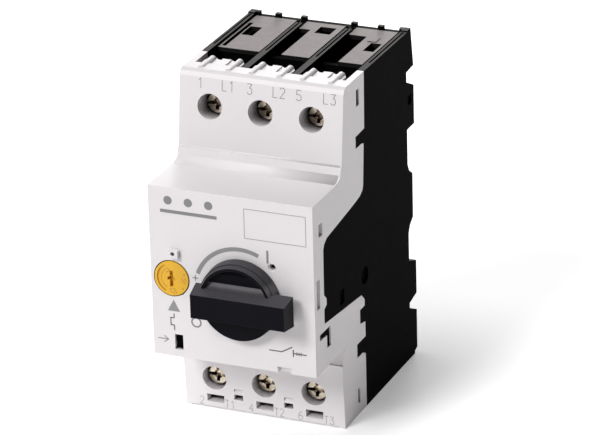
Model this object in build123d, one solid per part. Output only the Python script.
from build123d import *
import os

os.makedirs("parts", exist_ok=True)

# Three-pole motor protection breaker. Millimetres. X right, front towards -Y, Z up.
# Everything is drawn from the rear plane (Y = 0) and moved by SHIFT on export, which puts the
# origin at the middle of the bottom of the whole part's box.

# ---------------------------------------------------------------- driving dimensions
WIDTH = 45.0
HEIGHT = 93.0
DEPTH = 77.0
HALF = WIDTH / 2
SHIFT = Pos(0, DEPTH / 2, 0)
MID_Z = 46.25
COVER_H = 92.6
WALL = 1.8
INNER = HALF - WALL
POLES = (-14.0, 0.0, 14.0)
RIB_X = 7.0
RIB_T = 1.8
RUN = 0.06

# front cover: upper shoulder, nose, lower shoulder
NOSE_Y = -69.0
NOSE_TOP = 69.1
NOSE_BOT = 22.5
UP_Y_TOP = -47.3
UP_Y_LOW = -50.1
LOW_Y_TOP = -52.4
LOW_Y_BOT = -51.0
FOOT_R = 3.2

# vents and wire funnels at both ends
VENT_TOP = 91.9
VENT_T = 1.2
VENT_FRONT = -28.0
STRIP_Y = -41.6
TONGUE_Y = -36.3
TONGUE_HALF = 5.4
TONGUE_RIDGE_X = 3.8

# terminals
SCREW_Z = 83.6
SCREW_Z_UP = SCREW_Z - 0.7
SCREW_Z_LOW = 2 * MID_Z - SCREW_Z
BORE_SLOPE = 6.8
TUBE_PAST_HEAD = 1.5
SCREW_HOLE_R = 3.4
SCREW_R = 2.0
HEAD_R = 3.1
HEAD_T = 2.3
HEAD_Y_UP = -43.7
HEAD_Y_LOW = -49.0
SCREW_END = -26.9
TERMINAL_Y = -27.6
CLAMP_Y = -33.2
PLATE_T = 1.2

# rail recess
RAIL_TOP = 65.8
RAIL_LOW = 28.4
RAIL_Y = -5.0
CLIP_W = 6.2

# contacts
CONTACT_Z = 59.3
CONTACT_Y = -21.4
STROKE = 3.6
CARRIER_LOW = 43.7
CARRIER_HIGH = 50.1

# rotary knob
KNOB_X = 2.65
KNOB_Z = 41.6
KNOB_R = 10.7
KNOB_BACK = -69.3
KNOB_DISC = -72.2
KNOB_RIM = -73.6
SHAFT_R = 3.6
GRIP_Z = 41.1
GRIP_LEFT = -8.1
GRIP_RIGHT = 17.6

# setting dial, test slide, sealing lug
DIAL_X = -16.75
DIAL_Z = 44.2
DIAL_R = 4.7
TEST_X = -15.35
TEST_Z = 26.6
LUG_X = -15.5
LUG_Z = 51.3


# ---------------------------------------------------------------- shape helpers
def block(x0, x1, y0, y1, z0, z1):
    """Box from its limits."""
    box = Box(abs(x1 - x0), abs(y1 - y0), abs(z1 - z0))
    return Pos((x0 + x1) / 2, (y0 + y1) / 2, (z0 + z1) / 2) * box


def side_prism(points, x0, x1):
    """Solid from a (Y, Z) outline, extruded from x0 to x1."""
    face = make_face(Polyline(*[(0, y, z) for y, z in points], close=True))
    return Pos(min(x0, x1), 0, 0) * extrude(face, amount=abs(x1 - x0), dir=(1, 0, 0))


def front_prism(points, y0, y1):
    """Solid from an (X, Z) outline, extruded from y0 to y1."""
    face = make_face(Polyline(*[(x, 0, z) for x, z in points], close=True))
    return Pos(0, y0, 0) * extrude(face, amount=y1 - y0, dir=(0, 1, 0))


def top_prism(points, z0, z1):
    """Solid from an (X, Y) outline, extruded from z0 to z1."""
    face = make_face(Polyline(*[(x, y, 0) for x, y in points], close=True))
    return Pos(0, 0, z0) * extrude(face, amount=z1 - z0, dir=(0, 0, 1))


def rod(x, z, r, y0, y1):
    """Cylinder along Y."""
    return Pos(x, (y0 + y1) / 2, z) * Rot(90, 0, 0) * Cylinder(r, abs(y1 - y0))


def cone(x, z, r_front, r_back, y_front, y_back):
    """Truncated cone along Y."""
    return Pos(x, (y_front + y_back) / 2, z) * Rot(90, 0, 0) * Cone(r_back, r_front, abs(y_back - y_front))


def tapered(front, back, y_front, y_back):
    """Frustum between two (x0, x1, z0, z1) rectangles at two depths."""
    def rectangle(limits, y):
        x0, x1, z0, z1 = limits
        return make_face(Polyline((x0, y, z0), (x1, y, z0), (x1, y, z1), (x0, y, z1), close=True))
    return loft([rectangle(front, y_front), rectangle(back, y_back)])


def rings(x, z, r, depth, width, first, pitch, count):
    """Ring grooves of one depth and width along a Y cylinder."""
    grooves = []
    for k in range(count):
        y = first + k * pitch
        grooves.append(rod(x, z, r + 1, y - width / 2, y + width / 2) - rod(x, z, r - depth, y - 1, y + 1))
    return Compound(grooves)


def mirrored(shape):
    """The same shape reflected about the mid height."""
    return mirror(shape, about=Plane((0, 0, MID_Z), z_dir=(0, 0, 1)))


def save(shape, node):
    solids = shape.solids()
    export_step(SHIFT * (solids[0] if len(solids) == 1 else Compound(solids)), "parts/" + node + ".step")


# ---------------------------------------------------------------- outer envelope and its split
# (Y, Z) points of the rear face, from the top down: hook notches, rail recess and bevels
REAR = [
    (-1.6, HEIGHT), (0.0, 82.2), (RAIL_Y, 81.8), (RAIL_Y, 79.1), (0.0, 76.7), (0.0, RAIL_TOP + 0.1),
    (RAIL_Y, RAIL_TOP), (RAIL_Y, 56.0), (-4.0, 54.0), (-1.7, 52.4), (-1.7, 40.0), (-4.0, 38.4),
    (RAIL_Y, 36.4), (RAIL_Y, RAIL_LOW), (0.0, 26.7), (0.0, 17.2), (RAIL_Y, 16.2), (RAIL_Y, 14.5),
    (0.0, 12.3), (0.0, 1.2), (-1.7, 0.7), (-1.7, 0.0),
]
# seam between base and cover, from the bottom up
SPLIT = [
    (-36.3, 0.0), (-36.3, 15.2), (-38.3, 16.2), (-42.0, 16.2), (-42.0, 20.0), (-36.2, 20.0),
    (-36.2, 24.2), (-39.6, 24.9), (-39.6, 28.8), (-36.4, 28.8), (-36.4, 30.6), (-38.4, 32.5),
    (-62.9, 34.9), (-62.9, 38.9), (-61.3, 39.6), (-61.3, 41.3), (-62.9, 42.8), (-62.7, 55.0),
    (-62.0, 56.4), (-60.3, 57.4), (-44.2, 59.2), (-41.0, 59.6), (-38.0, 60.1), (-36.3, 61.1),
    (-35.8, 62.5), (-35.0, 72.2), (-35.0, 73.4), (-36.4, 73.8), (-40.2, 73.8), (-40.2, 77.0),
    (-34.4, 77.3), (-33.9, COVER_H), (-33.9, HEIGHT),
]
FRONT = [
    (UP_Y_TOP, COVER_H), (UP_Y_LOW, NOSE_TOP), (NOSE_Y, NOSE_TOP), (NOSE_Y, NOSE_BOT),
    (LOW_Y_TOP, NOSE_BOT), (LOW_Y_BOT, 0.0),
]


# ---------------------------------------------------------------- base housing
def pole_ribs():
    """Two ribs between the poles, kept behind the cover's inner face, with a gap for the carrier."""
    blank = [
        (-1.0, 92.5), (-1.0, 0.5), (-41.3, 0.5), (-41.3, 2.2), (-48.6, 2.2), (-48.6, 20.6), (-44.0, 24.7),
        (-54.0, 24.7), (-54.0, 66.8), (-46.5, 66.8), (-45.0, 90.4), (-41.3, 90.4), (-41.3, 92.5),
    ]
    inside_rear = side_prism(REAR + [(-54.2, 0.0), (-54.2, HEIGHT)], -INNER, INNER)
    ribs = []
    for side in (-1, 1):
        x0 = side * RIB_X - RIB_T / 2
        rib = side_prism(blank, x0, x0 + RIB_T)
        rib = rib - block(x0 - 1, x0 + RIB_T + 1, -56, -8.2, CARRIER_LOW - 0.8, CARRIER_HIGH + 0.8)
        ribs.append(rib & inside_rear)
    return ribs


def cross_walls():
    """Walls between the arc vents and the terminals, with a hole for each screw's end."""
    walls = []
    for z0, z1, screw_z in ((78.0, 90.6, SCREW_Z_UP), (1.9, 14.5, SCREW_Z_LOW)):
        wall = block(-INNER - 0.2, INNER + 0.2, -27.5, -26.2, z0, z1)
        for x in POLES:
            wall = wall - rod(x, screw_z, 2.6, -30, -24)
        walls.append(wall)
    return walls


def base_housing():
    base = side_prism(REAR + SPLIT, -HALF, HALF)
    cavity = [(-3.0, HEIGHT + 1), (-3.0, 84.2), (-6.8, 80.4), (-6.8, -1.0), (-75.0, -1.0), (-75.0, HEIGHT + 1)]
    base = base - side_prism(cavity, -INNER, INNER)
    for wall in pole_ribs() + cross_walls():
        base = base + wall

    # the rear wall ends flush with the vent plates; the side walls keep a small step at the rear
    base = base - block(-INNER, INNER, -6.0, 1.0, VENT_TOP, HEIGHT + 1)
    base = base - block(-HALF - 1, HALF + 1, -60.0, -4.0, COVER_H, HEIGHT + 1)

    # ledges that carry the rear ends of the vent plates, and a guide wall in the widest vent slot
    base = base + block(-INNER - 0.2, INNER + 0.2, -4.2, -2.9, 88.6, 90.2)
    base = base + block(-INNER - 0.2, INNER + 0.2, -8.0, -6.7, 2.4, 4.0)
    base = base + block(10.3, 11.0, -26.4, -6.7, 84.0, 89.4)

    # fixed rail hook at the top of the recess, and the pads beside it that the rail bears on
    hook = [(-0.4, RAIL_TOP + 0.4), (-3.7, RAIL_TOP + 0.4), (-3.7, 64.0), (-1.2, 64.4)]
    base = base + side_prism(hook, -15, 15)
    for side in (-1, 1):
        base = base + block(side * 16.0, side * 20.5, RAIL_Y - 0.2, RAIL_Y + 0.4, 57.0, 64.6)

    # channel for the rail clip, open to the rear and downwards, with lips that hold the clip in
    base = base - block(-CLIP_W, CLIP_W, -4.6, 1.0, -1.0, RAIL_LOW + 0.5)
    for z0, z1 in ((4.0, 11.5), (18.0, 26.0)):
        for side in (-1, 1):
            base = base + block(side * (CLIP_W + 0.2), side * (CLIP_W - 1.2), -1.0, 0.0, z0, z1)

    # grooves along the tops of the side walls and pole ribs
    for x in (-HALF + WALL / 2, -RIB_X, RIB_X, HALF - WALL / 2):
        base = base - block(x - 0.25, x + 0.25, VENT_FRONT, -4.4, COVER_H - 1.2, HEIGHT)

    # small ears along the rear top edge
    ear_half = 0.75
    for x in (-20.3, -14.4, -7.1, 7.1, 14.6, 20.6):
        base = base + block(x - ear_half, x + ear_half, -2.95, -1.7, 90.0, HEIGHT)

    # windows and a catch in both side walls
    for side in (-1, 1):
        skin = side * (HALF - 0.7)
        out = side * (HALF + 1)
        base = base - Pos(side * HALF, -35.8, 37.1) * Rot(0, 90, 0) * Cylinder(2.4, 1.6)
        base = base - block(skin, out, -52.6, -49.6, 35.4, 39.4)
        base = base - block(skin, out, -4.2, -1.6, 72.2, 74.8)
    return base


# ---------------------------------------------------------------- front cover
def cover_shell():
    """Stepped shell with a filleted foot under the upper shoulder and a softened top edge."""
    cover = side_prism(SPLIT[:-1] + FRONT, -HALF, HALF)
    fillet_side = 0.3
    foot = [
        (UP_Y_LOW + fillet_side, NOSE_TOP - 0.5), (UP_Y_LOW - FOOT_R, NOSE_TOP - 0.5), (UP_Y_LOW - FOOT_R, NOSE_TOP),
        (UP_Y_LOW - 1.7, NOSE_TOP + 0.35), (UP_Y_LOW - 0.7, NOSE_TOP + 1.15), (UP_Y_LOW, NOSE_TOP + FOOT_R),
        (UP_Y_LOW + fillet_side, NOSE_TOP + FOOT_R),
    ]
    cover = cover + side_prism(foot, -HALF, HALF)
    top_edge = [
        (UP_Y_TOP - 1, COVER_H + 1), (UP_Y_TOP - 1, COVER_H - 1.6), (UP_Y_TOP - 0.1, COVER_H - 1.6),
        (UP_Y_TOP + 0.45, COVER_H - 0.5), (UP_Y_TOP + 1.6, COVER_H), (UP_Y_TOP + 1.6, COVER_H + 1),
    ]
    cover = cover - side_prism(top_edge, -HALF - 1, HALF + 1)
    inside = [
        (-20.0, COVER_H - WALL), (UP_Y_TOP + WALL, COVER_H - WALL), (UP_Y_LOW + WALL, NOSE_TOP - WALL),
        (NOSE_Y + WALL, NOSE_TOP - WALL), (NOSE_Y + WALL, NOSE_BOT + WALL), (LOW_Y_TOP + WALL, NOSE_BOT + WALL),
        (LOW_Y_BOT + WALL, WALL), (-20.0, WALL),
    ]
    return cover - side_prism(inside, -INNER, INNER)


def crown_tongue(x):
    """Tongue over one wire funnel at the top: scalloped rear edge and two rounded ridges."""
    root = STRIP_Y - 0.4
    crown = [
        (x - TONGUE_HALF, root), (x - TONGUE_HALF, -38.3), (x - 4.3, -36.6), (x - 3.2, TONGUE_Y), (x - 2.2, -37.3),
        (x - 1.0, -37.5), (x - 0.5, -36.7), (x + 1.3, -36.7), (x + 2.3, -37.4), (x + 3.4, TONGUE_Y),
        (x + 4.6, -36.8), (x + TONGUE_HALF, -38.3), (x + TONGUE_HALF, root),
    ]
    tongue = top_prism(crown, COVER_H - 1.6, COVER_H - 0.4)
    ridge_r = 1.0
    for ridge_x in (x - TONGUE_RIDGE_X, x + TONGUE_RIDGE_X):
        ridge = rod(ridge_x, HEIGHT - ridge_r, ridge_r, -44.6, TONGUE_Y - 0.7)
        tongue = tongue + (ridge - block(x - 8, x + 8, -60, -30, COVER_H - 2.6, COVER_H - 1.3))
    return tongue + block(x - 0.9, x + 1.5, root, -37.2, COVER_H - 1.0, COVER_H - 0.05)


def terminal_openings(cover):
    """Wire funnels with their tongues, and screw holes with guide tubes."""
    for z0, z1 in ((COVER_H - WALL - 0.3, COVER_H + 1), (-1.0, WALL + 0.3)):
        cover = cover - block(-INNER, INNER, STRIP_Y, -20, z0, z1)
    # the lower front edge is relieved between the side walls, so the ridges show below it
    cover = cover - block(-INNER, INNER, -60, -20, -1.0, 0.35)
    for x in POLES:
        cover = cover + crown_tongue(x) + mirrored(crown_tongue(x) & block(-HALF, HALF, -60, -20, 80, 2 * MID_Z))
        for z, y_face, y_head, slope in ((SCREW_Z, -48.4, HEAD_Y_UP, BORE_SLOPE), (SCREW_Z_LOW, -51.6, HEAD_Y_LOW, 0)):
            y_tube = y_head + TUBE_PAST_HEAD
            square = Pos(x, y_face, z) * Rot(-slope, 0, 0)
            cover = cover + square * rod(0, 0, SCREW_HOLE_R + 1.1, 1.4, y_tube - y_face)
            cover = cover - square * rod(0, 0, SCREW_HOLE_R, -5, y_tube - y_face + 1)
    return cover


def shoulder_windows(cover):
    """Tapered windows under the lower screws, and latch windows with a ramp between them."""
    for x in POLES:
        cover = cover - tapered((x - 2.5, x + 2.5, 1.7, 4.0), (x - 2.0, x + 2.0, 2.3, 3.5), -51.6, -48.0)
    for x in (-7.4, 6.8):
        latch = block(x - 1.25, x + 1.25, -54, -48, 3.4, 6.5)
        ramp = [(-51.5, 4.9), (-50.3, 6.8), (-48.8, 6.8), (-48.8, 4.9)]
        cover = cover - (latch - side_prism(ramp, x - 2, x + 2))
    return cover


def side_pockets(cover):
    """Shallow pockets, latch slots through both side walls, and a ramped pocket under the nose."""
    for side in (-1, 1):
        skin = side * (HALF - 1.0)
        through = side * (INNER - 0.4)
        out = side * (HALF + 1)
        for y0, y1, z0, z1 in ((-67.3, -65.4, 40.4, 48.3), (-65.3, -63.0, 59.4, 62.9)):
            cover = cover - block(skin, out, y0, y1, z0, z1)
        for y0, y1, z0, z1 in ((-39.3, -37.4, 84.9, 89.3), (-41.9, -40.5, 3.2, 7.2)):
            cover = cover - block(through, out, y0, y1, z0, z1)
        ell = [(-66.1, 31.5), (-66.1, 33.0), (-59.2, 33.0), (-59.2, 27.5), (-61.6, 27.7), (-61.6, 31.2)]
        ramp = [(-54.0, 18.2), (-51.7, 18.2), (-50.2, NOSE_BOT), (-54.0, NOSE_BOT)]
        cover = cover - side_prism(ell, through, out) - side_prism(ramp, side * 18.9, out)
    return cover


def nose_details(cover):
    """Holes for knob, dial and test slide, the small round hole, the dovetail and the sealing lug."""
    cover = cover - rod(KNOB_X, KNOB_Z, SHAFT_R + RUN, NOSE_Y - 1, NOSE_Y + WALL + 1)
    cover = cover - rod(DIAL_X, DIAL_Z, DIAL_R + 0.3, NOSE_Y - 1, NOSE_Y + 4)
    cover = cover - block(TEST_X - 1.15, TEST_X + 1.15, NOSE_Y - 1, NOSE_Y + WALL + 1, TEST_Z - 2.1, TEST_Z + 2.1)
    cover = cover - rod(11.1, 51.15, 0.75, NOSE_Y - 1, NOSE_Y + 3) - cone(11.1, 51.15, 1.15, 0.7, NOSE_Y - 0.01,
                                                                           NOSE_Y + 0.7)
    dovetail = [(11.7, NOSE_BOT + 1.5), (15.9, NOSE_BOT + 1.5), (15.2, NOSE_BOT - 1), (12.4, NOSE_BOT - 1)]
    cover = cover - front_prism(dovetail, NOSE_Y - 1, NOSE_Y + 1.4)
    lug = block(LUG_X - 1.2, LUG_X + 1.2, NOSE_Y - 1.3, NOSE_Y + 0.3, LUG_Z - 1.05, LUG_Z + 1.05)
    return cover + (lug - rod(LUG_X - 0.2, LUG_Z + 0.2, 0.55, NOSE_Y - 2, NOSE_Y - 0.2))


def front_cover():
    return nose_details(side_pockets(shoulder_windows(terminal_openings(cover_shell()))))


# ---------------------------------------------------------------- vent plates
def vent_plate(x_bay, x0, x1, hole, y_rear, framed, inset):
    """Louvre over one arc chamber: a plate with a hole, joined to the bay's full width at the rear."""
    low = VENT_TOP - VENT_T
    plate = block(x0, x1, VENT_FRONT, y_rear, low, VENT_TOP) + block(x_bay, x1, -8.6, y_rear, low, VENT_TOP)
    plate = plate - block(*hole, low - 1, VENT_TOP + 1)
    if framed:
        plate = plate + block(x_bay, x_bay + 0.6, VENT_FRONT, -8.0, low, VENT_TOP)
        plate = plate + block(x_bay, x0 + 0.1, VENT_FRONT, VENT_FRONT + 1.3, low, VENT_TOP)
    for x in (x0, x1 - 1.0):
        plate = plate + block(x, x + 1.0, -26.1, y_rear - 1.4, low - 1.5, low + 0.1)
    if inset:
        plate = plate + block(14.6, 17.0, -12.0, -9.0, VENT_TOP - 0.1, VENT_TOP + 0.2)
    return plate


def save_vent_plates():
    """Left, middle and right bays differ in width and in where their hole lies."""
    bays = (
        (-20.6, -18.9, -8.9, (-18.6, -15.3, -17.6, -11.2)),
        (-6.0, -2.7, 5.0, (-1.0, 3.4, -10.4, -5.6)),
        (8.0, 13.1, 19.6, (16.0, 18.9, -18.6, -12.6)),
    )
    for i, (x_bay, x0, x1, hole) in enumerate(bays):
        first = i == 0
        last = i == len(bays) - 1
        save(vent_plate(x_bay, x0, x1, hole, -3.05, first, last), "upper_vent_plate_" + str(i + 1))
        save(mirrored(vent_plate(x_bay, x0, x1, hole, -6.9, first, last)), "lower_vent_plate_" + str(i + 1))


# ---------------------------------------------------------------- current path of one pole
def line_rail(x):
    """Terminal plate, step back under the cross wall, and fixed contact."""
    back = TERMINAL_Y - PLATE_T
    strip = [(back, 87.5), (back, 75.0), (-23.6, 75.0), (-23.6, 57.0), (-22.4, 57.0), (-22.4, 76.2),
             (TERMINAL_Y, 76.2), (TERMINAL_Y, 87.5)]
    rail = side_prism(strip, x - 3.2, x + 3.2) + block(x - 4.6, x + 4.6, back, TERMINAL_Y, 79.0, 87.5)
    rail = rail - rod(x, SCREW_Z_UP, SCREW_R + RUN, -32, -26)
    return rail + rod(x, CONTACT_Z, 1.7, -22.4, CONTACT_Y - 0.1)


def load_rail(x):
    """Terminal plate, then forward and up to the foot of the bimetal."""
    back = TERMINAL_Y - PLATE_T
    strip = [(back, 5.0), (back, 18.0), (-47.0, 18.0), (-47.0, 25.4), (-57.4, 25.4), (-57.4, 26.6),
             (-45.8, 26.6), (-45.8, 19.2), (TERMINAL_Y, 19.2), (TERMINAL_Y, 5.0)]
    rail = side_prism(strip, x - 3.0, x + 3.0) + block(x - 4.6, x + 4.6, back, TERMINAL_Y, 5.0, 13.5)
    return rail - rod(x, SCREW_Z_LOW, SCREW_R + RUN, -32, -26)


def bimetal(x):
    return block(x - 2.4, x + 2.4, -57.0, -56.1, 26.6, 63.0)


def heater(x):
    """Heater winding on the bimetal: a sleeve with grooves between its turns."""
    band = block(x - 3.3, x + 3.3, -57.9, -55.2, 31.0, 46.0)
    for k in range(7):
        z = 32.6 + k * 2.0
        groove = block(x - 4, x + 4, -59, -54, z - 0.35, z + 0.35)
        band = band - (groove - block(x - 2.8, x + 2.8, -57.4, -55.7, z - 1, z + 1))
    return band - block(x - 2.4, x + 2.4, -57.0, -56.1, 30, 47)


def magnet_yoke(x):
    """Bent steel yoke round the coil, with the fixed pole piece."""
    strip = [(-47.4, 38.6), (-47.4, 54.6), (-29.4, 54.6), (-29.4, 38.6), (-30.8, 38.6), (-30.8, 53.2),
             (-46.0, 53.2), (-46.0, 38.6)]
    yoke = side_prism(strip, x - 4.6, x + 4.6) + rod(x, MID_Z, 1.9, -46.2, -42.6)
    return yoke - rod(x, MID_Z, 1.9, -32, -28)


def trip_coil(x):
    """Wound coil with its tail bent down and back to the lower fixed contact."""
    coil = rod(x, MID_Z, 5.3, -45.6, -31.2) - rings(x, MID_Z, 5.3, 0.6, 0.5, -44.2, 1.95, 7)
    coil = coil - rod(x, MID_Z, 2.5, -50, -30)
    tail = [(-33.0, 42.0), (-33.0, 21.0), (-22.4, 21.0), (-22.4, 35.5), (-23.6, 35.5), (-23.6, 22.2),
            (-31.8, 22.2), (-31.8, 42.0)]
    coil = coil + (side_prism(tail, x - 2.2, x + 2.2) - rod(x, MID_Z, 4.9, -50, -30))
    return coil + rod(x, 2 * MID_Z - CONTACT_Z, 1.7, -22.4, CONTACT_Y - 0.1)


def plunger(x):
    return rod(x, MID_Z, 1.85, -41.8, -29.0) + rod(x, MID_Z, 1.1, -29.2, -22.6)


def arc_chute(x):
    """Seven slotted steel plates held by two side cheeks, at the top of the housing."""
    chute = block(x - 5.3, x - 4.5, -21.2, -8.6, 62.6, 77.2) + block(x + 4.5, x + 5.3, -21.2, -8.6, 62.6, 77.2)
    for k in range(7):
        z = 63.6 + k * 2.05
        plate = block(x - 4.6, x + 4.6, -20.8, -9.0, z - 0.5, z + 0.5)
        chute = chute + (plate - block(x - 1.4, x + 1.4, -21.5, -16.5, z - 1, z + 1))
    return chute


def terminal_screw(x, z, y_head):
    """Pan head with a combined crossed and slotted recess, plain shank."""
    screw = cone(x, z, HEAD_R - 0.5, HEAD_R, y_head, y_head + 0.6) + rod(x, z, HEAD_R, y_head + 0.6, y_head + HEAD_T)
    screw = screw + rod(x, z, SCREW_R, y_head + HEAD_T - 0.1, SCREW_END)
    slot = block(x - 4, x + 4, y_head - 1, y_head + 0.9, z - 0.4, z + 0.4)
    cross = block(x - 0.5, x + 0.5, y_head - 1, y_head + 1.4, z - 1.9, z + 1.9)
    across = block(x - 1.9, x + 1.9, y_head - 1, y_head + 1.4, z - 0.5, z + 0.5)
    return screw - slot - cross - across - cone(x, z, 1.2, 0.4, y_head - 0.01, y_head + 1.2)


def terminal_clamp(x, z, y_head):
    """Box clamp: washer plate under the head, two arms and the foot that grips the conductor."""
    half_w = 4.7
    half_h = 4.2
    y_washer = y_head + HEAD_T + 0.1
    clamp = block(x - half_w, x + half_w, y_washer, y_washer + 1.3, z - half_h, z + half_h)
    clamp = clamp + block(x - half_w, x + half_w, CLAMP_Y - 1.0, CLAMP_Y, z - half_h, z + half_h)
    for side in (-1, 1):
        clamp = clamp + block(x + side * half_w, x + side * (half_w - 1), y_washer, CLAMP_Y, z - half_h, z + half_h)
    return clamp - rod(x, z, SCREW_R + RUN, -60, -20)


BRIDGE_Y = CONTACT_Y + STROKE


def contact_bridge(x):
    """Moving bridge with two tips, drawn in the open position."""
    bridge = block(x - 2.3, x + 2.3, BRIDGE_Y + 0.8, BRIDGE_Y + 2.0, 31.2, 61.3)
    for z in (CONTACT_Z, 2 * MID_Z - CONTACT_Z):
        bridge = bridge + rod(x, z, 1.5, BRIDGE_Y, BRIDGE_Y + 0.9)
    return bridge


def contact_spring(x):
    """Compression spring behind the bridge, as a ringed tube."""
    z = (CARRIER_LOW + CARRIER_HIGH) / 2
    tube = rod(x, z, 1.9, BRIDGE_Y + 2.05, BRIDGE_Y + 5.35)
    tube = tube - rings(x, z, 1.9, 0.35, 0.3, BRIDGE_Y + 2.6, 0.8, 4)
    return tube - rod(x, z, 1.3, BRIDGE_Y, BRIDGE_Y + 9)


def save_poles():
    for i, x in enumerate(POLES):
        n = str(i + 1)
        save(line_rail(x), "line_rail_" + n)
        save(load_rail(x), "load_rail_" + n)
        save(bimetal(x), "bimetal_" + n)
        save(heater(x), "heater_" + n)
        save(magnet_yoke(x), "magnet_yoke_" + n)
        save(trip_coil(x), "trip_coil_" + n)
        save(plunger(x), "plunger_" + n)
        save(arc_chute(x), "upper_arc_chute_" + n)
        save(mirrored(arc_chute(x)), "lower_arc_chute_" + n)
        save(terminal_screw(x, SCREW_Z_UP, HEAD_Y_UP), "upper_screw_" + n)
        save(terminal_screw(x, SCREW_Z_LOW, HEAD_Y_LOW), "lower_screw_" + n)
        save(terminal_clamp(x, SCREW_Z_UP, HEAD_Y_UP), "upper_clamp_" + n)
        save(terminal_clamp(x, SCREW_Z_LOW, HEAD_Y_LOW), "lower_clamp_" + n)
        save(contact_bridge(x), "contact_bridge_" + n)
        save(contact_spring(x), "contact_spring_" + n)


# ---------------------------------------------------------------- parts shared by the poles
def contact_carrier():
    """Bar behind the bridges with prongs and claws that pull them forward, and two arms to the lock."""
    z0, z1 = CARRIER_LOW, CARRIER_HIGH
    carrier = block(-19.6, 19.6, BRIDGE_Y + 5.4, BRIDGE_Y + 8.0, z0, z1)
    for x in POLES:
        for side in (-1, 1):
            carrier = carrier + block(x + side * 2.5, x + side * 3.9, BRIDGE_Y - 0.6, BRIDGE_Y + 5.6, z0, z1)
            carrier = carrier + block(x + side * 1.5, x + side * 2.6, BRIDGE_Y - 0.6, BRIDGE_Y + 0.75, z0, z1)
    arm_half = 0.7
    for side in (-1, 1):
        arm_x = side * RIB_X
        carrier = carrier + block(arm_x - arm_half, arm_x + arm_half, -54.4, BRIDGE_Y + 6, z0, z1)
    return carrier


def switch_lock():
    """Closed block of the toggle mechanism, with a bearing for the knob's shaft."""
    lock = block(-5.6, 13.2, -66.6, -59.0, 32.4, 51.6)
    lock = lock - rod(KNOB_X, KNOB_Z, SHAFT_R + RUN, -70, -60.4)
    return lock - block(-7, -3.6, -67, -58, 31, 36) - block(10.6, 14, -67, -58, 31, 36)


def trip_slide():
    """Slide across the three bimetals, with a finger behind each and a leg towards the dial."""
    slide = block(-18.8, 18.2, -62.6, -60.8, 58.0, 61.6)
    for x in POLES:
        slide = slide + block(x - 3.9, x - 2.8, -61.0, -55.4, 58.0, 61.6)
    return slide + block(-18.8, -16.6, -62.6, -60.8, 49.4, 58.2)


def knob():
    """Disc, drafted grip bar, hollowed half-round boss above the grip, and moulded shaft."""
    half_h = 3.2
    draft = 0.85
    body = cone(KNOB_X, KNOB_Z, KNOB_R - 0.25, KNOB_R, KNOB_DISC, KNOB_BACK)
    front = (GRIP_LEFT, GRIP_RIGHT, GRIP_Z - half_h, GRIP_Z + half_h)
    back = (GRIP_LEFT - draft, GRIP_RIGHT + 0.1, GRIP_Z - half_h - draft, GRIP_Z + half_h + draft)
    body = body + tapered(front, back, -DEPTH, KNOB_DISC + 0.9)

    boss = cone(KNOB_X, KNOB_Z, KNOB_R - 0.9, KNOB_R - 0.3, KNOB_RIM, KNOB_DISC + 0.4)
    boss = boss - block(-20, 20, -80, -70, 20, GRIP_Z + half_h)
    scoop_r = 3.9
    scoop = Pos(KNOB_X, -75.9, GRIP_Z + half_h - 0.6 + scoop_r) * Rot(0, 90, 0) * Cylinder(scoop_r, 30)
    boss = boss - (scoop & rod(KNOB_X, KNOB_Z, KNOB_R - 1.6, -80, -70.8))
    body = body + boss
    return body + rod(KNOB_X, KNOB_Z, SHAFT_R, KNOB_BACK - 0.5, -60.6)


def setting_dial():
    """Dial with a crossed slot and a shallow crescent, spindle and cam."""
    face = NOSE_Y - 0.15
    dial = rod(DIAL_X, DIAL_Z, DIAL_R, face, -65.6)
    dial = dial - block(DIAL_X - 1.1, DIAL_X + 0.9, face - 1, face + 1.2, DIAL_Z - 0.45, DIAL_Z + 0.45)
    dial = dial - block(DIAL_X - 0.45, DIAL_X + 0.45, face - 1, face + 1.2, DIAL_Z - 2.3, DIAL_Z + 2.1)
    crescent = rod(DIAL_X, DIAL_Z, DIAL_R - 0.75, face - 1, face + 0.3) - rod(DIAL_X, DIAL_Z, 2.8, face - 2, face + 1)
    crescent = crescent - block(DIAL_X - 1.6, DIAL_X + 6, face - 2, face + 1, DIAL_Z - 6, DIAL_Z + 6)
    dial = dial - crescent
    dial = dial + rod(DIAL_X, DIAL_Z, 1.8, -65.7, -58.6)
    return dial + rod(DIAL_X + 0.9, DIAL_Z, 3.4, -62.4, -60.8)


def test_slide():
    """Slide behind the test slot, held by its flange."""
    flange_y = NOSE_Y + WALL + 0.3
    slide = block(TEST_X - 0.85, TEST_X + 0.85, NOSE_Y + 0.6, -60.0, TEST_Z - 1.8, TEST_Z + 1.8)
    return slide + block(TEST_X - 2.1, TEST_X + 2.1, flange_y, flange_y + 1.2, TEST_Z - 1.8, TEST_Z + 2.9)


def rail_clip():
    """Sprung catch in its channel, with the hook for the rail's lower edge and a slot to pull it."""
    half = CLIP_W - 0.3
    clip = block(-half, half, -4.3, -2.6, 2.6, 27.4)
    hook = [(-4.3, 27.2), (-1.2, 27.2), (-1.2, 30.3), (-3.6, 30.9), (-3.6, 28.4), (-4.3, 28.4)]
    clip = clip + side_prism(hook, -half, half)
    clip = clip + block(-4.4, 4.4, -2.8, -1.2, 2.6, 27.4)
    return clip - block(-2.2, 2.2, -5, 0, 4.4, 7.0) - block(-2.4, 2.4, -5, 0, 10.0, 21.0)


# ---------------------------------------------------------------- write one file per node
save(base_housing(), "base_housing")
save(front_cover(), "front_cover")
save_vent_plates()
save_poles()
save(contact_carrier(), "contact_carrier")
save(switch_lock(), "switch_lock")
save(trip_slide(), "trip_slide")
save(knob(), "knob")
save(setting_dial(), "setting_dial")
save(test_slide(), "test_slide")
save(rail_clip(), "rail_clip")
